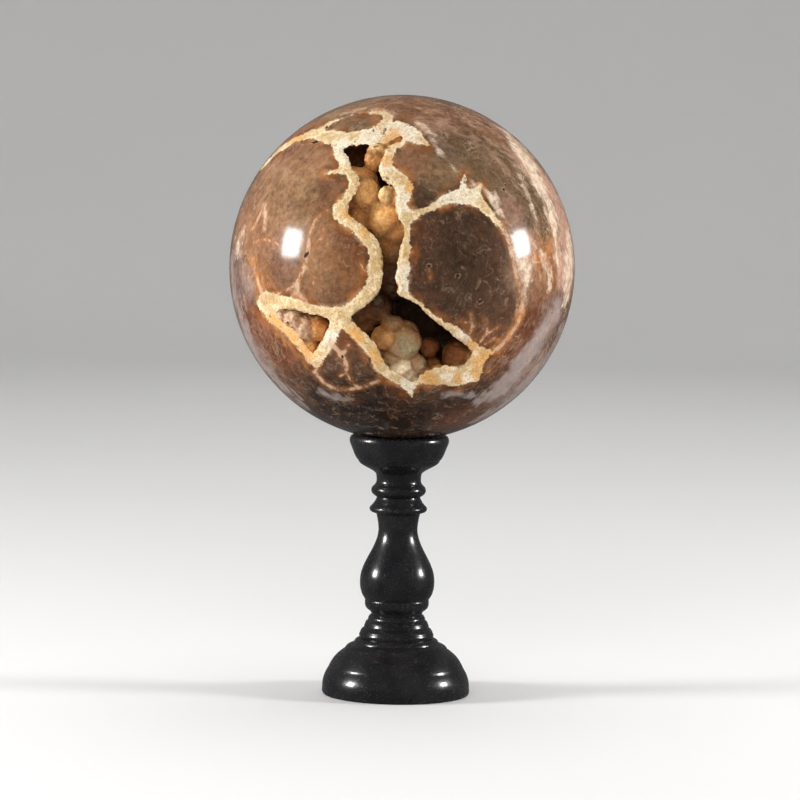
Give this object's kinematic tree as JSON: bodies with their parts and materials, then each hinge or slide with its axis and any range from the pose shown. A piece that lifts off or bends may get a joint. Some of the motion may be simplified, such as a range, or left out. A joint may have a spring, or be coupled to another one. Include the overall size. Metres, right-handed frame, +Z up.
{
  "type": "decorative mineral sphere on a stand",
  "caption": "Polished brown stone ball with an open crystal cavity in its front, resting in the dish of a turned black pedestal.",
  "frame": {"origin": "centre of the stand's foot, on the surface that it stands on", "axes": "+Z up; the cavity faces -Y; +X to the right when the cavity is looked at"},
  "size_m": [0.14, 0.14, 0.2441],
  "materials": {
    "polished_stone": "polished, with rough crystal in the cavity",
    "black_lacquer": "black gloss lacquer"
  },
  "bodies": {
    "root": {"mineral_ball": "polished_stone", "turned_stand": "black_lacquer"}
  },
  "joints": []
}
